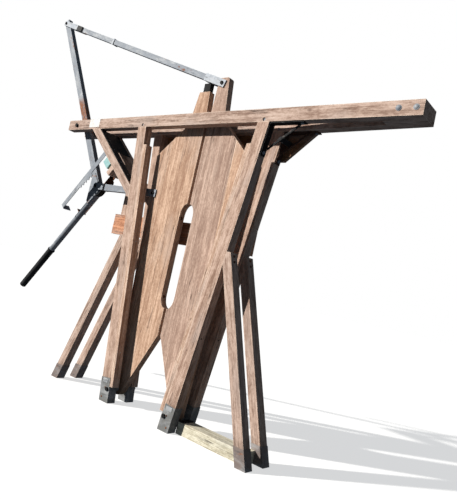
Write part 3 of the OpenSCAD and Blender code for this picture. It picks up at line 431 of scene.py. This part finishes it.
def add_floor():
    """A pale floor, 120 m across, that throws no light back up."""
    mesh = bpy.data.meshes.new("floor")
    half = 60.0
    mesh.from_pydata([(-half, -half, 0), (half, -half, 0), (half, half, 0), (-half, half, 0)],
                     [], [(0, 1, 2, 3)])
    floor = bpy.data.objects.new("floor", mesh)
    bpy.context.scene.collection.objects.link(floor)
    mesh.materials.append(floor_paint("floor_paint"))
    floor.visible_diffuse = False
    floor.visible_glossy = False


# ---------------------------------------------------------------- where things are

def corners(node):
    """All vertices of a node, as an array."""
    mesh = NODES[node].data
    points = np.empty(len(mesh.vertices) * 3, np.float32)
    mesh.vertices.foreach_get("co", points)
    return points.reshape(-1, 3).astype(float)


def lean(node):
    """Direction of a node's length in the X and Z plane, in degrees up from +X, from the spread
    of its corners."""
    flat = corners(node)[:, [0, 2]]
    flat = np.unique(flat.round(4), axis=0)
    spread = np.cov((flat - flat.mean(0)).T)
    _, axes = np.linalg.eigh(spread)
    direction = axes[:, 1] * (1.0 if axes[0, 1] >= 0.0 else -1.0)
    return math.degrees(math.atan2(direction[1], direction[0]))


def way(angle):
    """Unit vector in the X and Z plane at an angle in degrees up from +X, as X, Y, Z."""
    return np.array([math.cos(math.radians(angle)), 0.0, math.sin(math.radians(angle))])


def span(node, angle):
    """Least and greatest distance of a node's corners along a direction."""
    reach = corners(node) @ way(angle)
    return reach.min(), reach.max()


def pivot(joint):
    """Centre of a joint at mid-thickness."""
    at = JOINT[joint]["pos_m"]
    return np.array([at[0], 0.0, at[2]])


TOP_PIN = pivot("top_link_turn")
LOW_PIN = pivot("lower_link_turn")


# ---------------------------------------------------------------- materials on the frame

def dress(node, material):
    mesh = NODES[node].data
    mesh.materials.clear()
    mesh.materials.append(material)


def dress_timber():
    tones = {"front_beam": SAWN, "rear_beam": SAWN, "beam_spacer": SAWN, "rear_rail": RAIL,
             "rear_post": LEG, "head_board": SHADED_HEAD_BOARD, "front_brace": SAWN, "rear_brace": SAWN,
             "rack_block": LEG, "sill": BLEACHED,
             "left_door_board": BOARD, "left_door_edge_board": BOARD,
             "right_door_board": PINK_BOARD, "right_door_edge_board": BOARD}
    feet = {}
    for side in ("left", "right"):
        for row in ("front", "rear"):
            tones[f"{row}_{side}_leg"] = LEG
            tones[f"{row}_{side}_liner"] = LINER
            tones[f"{row}_{side}_strut"] = SAWN
            feet[f"{row}_{side}_leg"] = 0.30
            feet[f"{row}_{side}_strut"] = 0.22
        feet[f"{side}_door_board"] = 0.26
        feet[f"{side}_door_edge_board"] = 0.22
    level = ("front_beam", "rear_beam", "beam_spacer", "rear_rail", "head_board", "sill")
    for seed, (node, tone) in enumerate(sorted(tones.items())):
        grain = 0.0 if node in level else 90.0 if "door" in node or "post" in node else lean(node)
        dress(node, wood(f"timber_{node}", grain, seed + 1, tone, feet.get(node, 0.0)))


def dress_steel():
    arm = lean("crank_arm")
    top = lean("top_link")
    low = lean("lower_link")
    bright = zinc("zinc_fittings", 0.4)
    for node in ("beam_bolts", "rubber_nails", "bracket_bolts", "foot_spacers", "crank_spacers",
                 "crank_bushes"):
        dress(node, bright)
    dress("leg_shoes", zinc("zinc_leg_shoes", 0.1, base=paint(114, 114, 112)))
    dress("strut_shoes", zinc("zinc_strut_shoes", 0.2, base=paint(126, 112, 105)))
    beam_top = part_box("front_beam")[1].z
    dress("crank_arm", zinc("zinc_arm", 0.45, arm, rust_low=(beam_top - 0.10, beam_top + 0.36)))
    dress("top_link", zinc("zinc_top_link", 0.30, top))
    dress("lower_link", zinc("zinc_lower_link", 0.35, low))
    dress("lower_link_forks", zinc("zinc_lower_forks", 0.35, low, paint(128, 134, 142)))
    dress("cheek_plates", zinc("zinc_cheeks", 0.6, low))
    dress("handle_pipe", zinc("zinc_pipe", 0.4, lean("handle_pipe")))
    dress("front_rack", zinc("zinc_rack", 0.3, lean("front_rack")))
    dress("rear_rack", rust_steel("rust_rack", lean("rear_rack")))
    rusty = rust_steel("rust_fittings")
    for node in ("screws_and_nails", "left_door_fittings", "right_door_fittings"):
        dress(node, rusty)
    black = black_steel("black_fittings")
    for node in ("rack_bolts", "foot_bolts", "crank_bolt", "link_pins", "tongue_pin", "door_pin",
                 "sill_cleat", "front_corner_bracket", "door_stop_bar"):
        dress(node, black)
    dress("rear_corner_bracket", rust_steel("rust_bracket", 45.0, 0.6))
    stub = span("top_link", top)[0]
    dress("top_link_forks", zinc("zinc_top_forks", 0.25, top, paint(160, 166, 174),
                                 black=(stub - 0.105, stub + 0.012)))


def dress_rest():
    # The rubber sheet's black is partly its own, where a sheet is screwed on; where it runs along the
    # front brace's upper face, its black is painted shade.
    dress("rubber_sheet", rubber("rubber_sheet"))
    dress("rubber_grip", rubber("rubber_grip"))
    dress("packing_block", old_paint("sea_blue_paint"))
    dress("name_plate", blank_plate("blank_plate"))


# ---------------------------------------------------------------- swept pieces

def skin(rings):
    """Closed surface through rings, an array of rings x points x 3. Each ring joins the next with
    quads and a fan closes each end. Returns vertices and faces, turned to point outwards."""
    count, around = rings.shape[:2]
    verts = np.concatenate([rings.reshape(-1, 3), rings[:1].mean(1), rings[-1:].mean(1)])
    i, j = np.meshgrid(np.arange(count - 1), np.arange(around), indexing="ij")
    k = (j + 1) % around
    quads = np.stack([i * around + j, i * around + k, (i + 1) * around + k, (i + 1) * around + j], -1)
    quads = quads.reshape(-1, 4)
    j = np.arange(around)
    k = (j + 1) % around
    first, last = count * around, count * around + 1
    final = (count - 1) * around
    start = np.stack([np.full(around, first), k, j], -1)
    end = np.stack([np.full(around, last), final + j, final + k], -1)
    tris = np.concatenate([quads[:, [0, 1, 2]], quads[:, [0, 2, 3]], start, end])
    a, b, c = verts[tris[:, 0]], verts[tris[:, 1]], verts[tris[:, 2]]
    outwards = np.einsum("ij,ij->i", a, np.cross(b, c)).sum() > 0
    faces = quads.tolist() + start.tolist() + end.tolist()
    return verts, faces if outwards else [f[::-1] for f in faces]


def sweep(path, outline, across):
    """Rings of a flat outline (points x 2) carried along a path (rings x 3). The outline's first
    coordinate lies along the vector across, its second square to that and to the path."""
    heading = np.gradient(path, axis=0)
    heading /= np.linalg.norm(heading, axis=1, keepdims=True)
    side = across - (heading @ across)[:, None] * heading
    side /= np.linalg.norm(side, axis=1, keepdims=True)
    up = np.cross(heading, side)
    return path[:, None] + outline[None, :, :1] * side[:, None] + outline[None, :, 1:] * up[:, None]


def circle(radius, points):
    """Outline of a circle, as points."""
    turn = np.arange(points) * 2 * np.pi / points
    return radius * np.stack([np.cos(turn), np.sin(turn)], -1)


def flat_bar(width, thick, radius):
    """Outline of a bar with rounded edges: a rectangle with a quarter circle at each corner."""
    turn = np.radians([0, 45, 90])
    corner = radius * np.stack([np.cos(turn), np.sin(turn)], -1)
    parts = []
    for quarter in range(4):
        c, s = round(math.cos(quarter * math.pi / 2)), round(math.sin(quarter * math.pi / 2))
        turned = corner @ np.array([[c, s], [-s, c]])
        sx, sy = (1, -1, -1, 1)[quarter], (1, 1, -1, -1)[quarter]
        parts.append(turned + [sx * (width / 2 - radius), sy * (thick / 2 - radius)])
    return np.concatenate(parts)


def bead(start, end, radius, pitch=0.006):
    """Weld bead: a round bar whose radius swells and shrinks once every pitch, drawn in at its
    ends."""
    length = np.linalg.norm(end - start)
    t = np.linspace(0, 1, max(8, min(120, int(length / pitch * 4))))
    path = start + t[:, None] * (end - start)
    crosswise = abs((end - start)[1]) >= 0.9 * length
    across = np.array([1.0, 0.0, 0.3]) if crosswise else np.array([0.3, 1.0, 0.2])
    rings = sweep(path, circle(1.0, 8), across)
    drawn_in = np.sqrt(np.sin(np.pi * (0.06 + 0.88 * t)))
    swell = radius * (1 + 0.16 * np.sin(2 * np.pi * t * length / pitch)) * drawn_in
    return path[:, None] + (rings - path[:, None]) * swell[:, None, None]


def dome(at, out, radius, height):
    """Round head: rings of a half ellipse turned about the vector out, with a short skirt."""
    out = np.asarray(out, float) / np.linalg.norm(out)
    a = np.cross(out, [0.37, 0.53, 0.76])
    a /= np.linalg.norm(a)
    b = np.cross(out, a)
    turn = np.arange(16) * 2 * np.pi / 16
    rise = np.array([-0.3, 0.0, 0.25, 0.5, 0.72, 0.88, 0.97])
    wide = np.sqrt(1 - np.clip(rise, 0, 1) ** 2)
    ring = np.cos(turn)[:, None] * a + np.sin(turn)[:, None] * b
    return np.asarray(at) + radius * wide[:, None, None] * ring + height * rise[:, None, None] * out


def make(name, skins, material, body):
    """One object from several closed surfaces, at the origin, riding on a body."""
    verts, faces, base = [], [], 0
    for rings in skins:
        v, f = skin(rings)
        verts.append(v)
        faces += [[i + base for i in face] for face in f]
        base += len(v)
    mesh = bpy.data.meshes.new(name)
    mesh.from_pydata(np.concatenate(verts).tolist(), [], faces)
    mesh.polygons.foreach_set("use_smooth", [True] * len(mesh.polygons))
    mesh.update()
    mesh.materials.append(material)
    piece = bpy.data.objects.new(name, mesh)
    bpy.context.scene.collection.objects.link(piece)
    if hasattr(mesh, "set_sharp_from_angle"):
        mesh.set_sharp_from_angle(angle=math.radians(40))
    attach(piece, body)
    return piece


def hoop(pin, angle, at, deep, half):
    """Four beads round a box section of depth deep, at a distance along its length from a pin."""
    ahead, up, out = way(angle), way(angle + 90), np.array([0.0, half, 0.0])
    centre = pin + ahead * at
    high, low = centre + up * deep / 2, centre - up * deep / 2
    return [bead(high - out, high + out, 0.004), bead(low - out, low + out, 0.004),
            bead(low - out, high - out, 0.004), bead(low + out, high + out, 0.004)]


BAR_HALF = 0.0255


def end_beads(node, pin, deep_first, deep_last, proud):
    """Beads round both ends of a link, where its forks' blocks are welded on."""
    angle = lean(node)
    first, last = span(node, angle)
    start = pin @ way(angle)
    return (hoop(pin, angle, first - start, deep_first, BAR_HALF + proud)
            + hoop(pin, angle, last - start, deep_last, BAR_HALF + proud))


def add_welds():
    """Beads where forks and cheeks join their bars."""
    weld = zinc("zinc_weld", 0.9, base=paint(120, 118, 116))
    make("top_link_welds", end_beads("top_link", TOP_PIN, 0.050, 0.050, 0.006), weld,
         "top_link")
    make("lower_link_welds", end_beads("lower_link", LOW_PIN, 0.062, 0.045, 0.004), weld,
         "lower_link")
    up = way(lean("crank_arm") + 180.0)
    beads = []
    for out in (-BAR_HALF - 0.001, BAR_HALF + 0.001):
        level = np.array([0.0, out, 0.0])
        for side in (-0.018, 0.018):
            edge = LOW_PIN + np.array([side, 0.0, 0.0]) + level
            beads.append(bead(edge + up * 0.055, edge + up * 0.148, 0.003))
    make("cheek_welds", beads, weld, "crank")


def add_heel_strap():
    """Black strap bent round below the lower pin, an arc centred on that pin. Its black is painted
    shade, standing for the shaded rounded lower edge of the cheek plates.
    """
    radius = 0.094
    turn = np.radians(np.linspace(-124.0, -24.0, 40))
    arc = LOW_PIN + radius * np.stack([np.cos(turn), np.zeros_like(turn), np.sin(turn)], -1)
    rings = sweep(arc, flat_bar(0.058, 0.007, 0.002), np.array([0.0, 1.0, 0.0]))
    # The strap's black colour is painted shade on the cheek plates' lower edge.
    make("heel_strap", [rings], black_steel("strap_painted_shade", 0.2), "crank")


NAIL_HEIGHTS = (0.42, 0.759, 1.06, 1.361, 1.70, 2.04)


def add_liner_nails():
    """Nail heads in the faces of the liners that line the gateway."""
    nails = []
    for row in ("front", "rear"):
        for side, sign in (("left", 1.0), ("right", -1.0)):
            points = corners(f"{row}_{side}_liner")
            low, high = points[:, 2].min(), points[:, 2].max()
            foot = points[points[:, 2] < low + 0.01]
            head = points[points[:, 2] > high - 0.01]
            inner = [edge[:, 0].max() if sign > 0 else edge[:, 0].min() for edge in (foot, head)]
            for height in NAIL_HEIGHTS:
                t = (height - low) / (high - low)
                x = inner[0] + (inner[1] - inner[0]) * t
                nails.append(dome((x, points[:, 1].mean(), height), (sign, 0.0, 0.0), 0.0055, 0.0022))
    bright = zinc("zinc_nails", 0.2, base=paint(206, 206, 204))
    make("liner_nails", nails, bright, "frame")


def add_shoe_clips():
    """A flat clip and two screw heads on the outer face of each leg's shoe."""
    low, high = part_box("leg_shoes")
    clips, heads = [], []
    for sign in (-1, 1):
        for face, out in ((low.y, -1.0), (high.y, 1.0)):
            for x, z in ((0.392, 0.035), (0.372, 0.118)):
                heads.append(dome((sign * x, face, z), (0.0, out, 0.0), 0.0075, 0.0035))
            centre = np.array([sign * 0.385, face, 0.172])
            path = np.stack([np.linspace(-0.03, 0.03, 7), np.zeros(7), np.zeros(7)], -1) + centre
            clips.append(sweep(path, flat_bar(0.034, 0.006, 0.002), np.array([0.0, 0.0, 1.0])))
    bright = zinc("zinc_clips", 0.2, base=paint(160, 162, 164))
    make("shoe_clips", clips, bright, "frame")
    make("shoe_screws", heads, rust_steel("rust_screws"), "frame")


def add_grip_ribs():
    """Moulded rings along the rubber grip and a thicker stop at its upper end."""
    angle = lean("rubber_grip")
    low, high = span("rubber_grip", angle)
    lowest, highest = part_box("rubber_grip")
    halfway = (lowest + highest) / 2
    centre = np.array([halfway.x, 0.0, halfway.z])
    start = centre @ way(angle)
    square = way(angle + 90)
    turn = np.arange(32) * 2 * np.pi / 32
    around = np.cos(turn)[:, None] * square + np.sin(turn)[:, None] * np.array([0.0, 1.0, 0.0])
    ribs = [(at, 0.0345, 0.0030) for at in np.arange(low + 0.02, high - 0.03, 0.012)]
    ribs.append((high - 0.012, 0.0385, 0.008))
    rings = []
    for at, radius, half in ribs:
        steps = np.linspace(-1, 1, 5)
        wide = radius - 0.0015 * steps ** 2
        axis = centre + way(angle) * (at - start)
        rings.append(axis + (steps * half)[:, None, None] * way(angle) + wide[:, None, None] * around)
    make("grip_ribs", rings, rubber("rubber_ribs"), "crank")


def add_tongue_block():
    """Black steel block standing on the left door's tongue, midway between the top link's plates.
    Its black is painted shade, standing for the shaded plate behind the link's forks.
    """
    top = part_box("left_door_board")[1].z
    rise = np.linspace(-0.004, 0.078, 6)
    path = np.stack([np.full_like(rise, -0.097), np.zeros_like(rise), top + rise], -1)
    rings = sweep(path, flat_bar(0.074, 0.044, 0.003), np.array([1.0, 0.0, 0.0]))
    # The block's black colour is painted shade.
    make("tongue_block", [rings], black_steel("block_painted_shade", 0.3), "left_door")


add_camera()
add_lights()
add_floor()
dress_timber()
dress_steel()
dress_rest()
add_welds()
add_heel_strap()
add_liner_nails()
add_shoe_clips()
add_grip_ribs()
add_tongue_block()
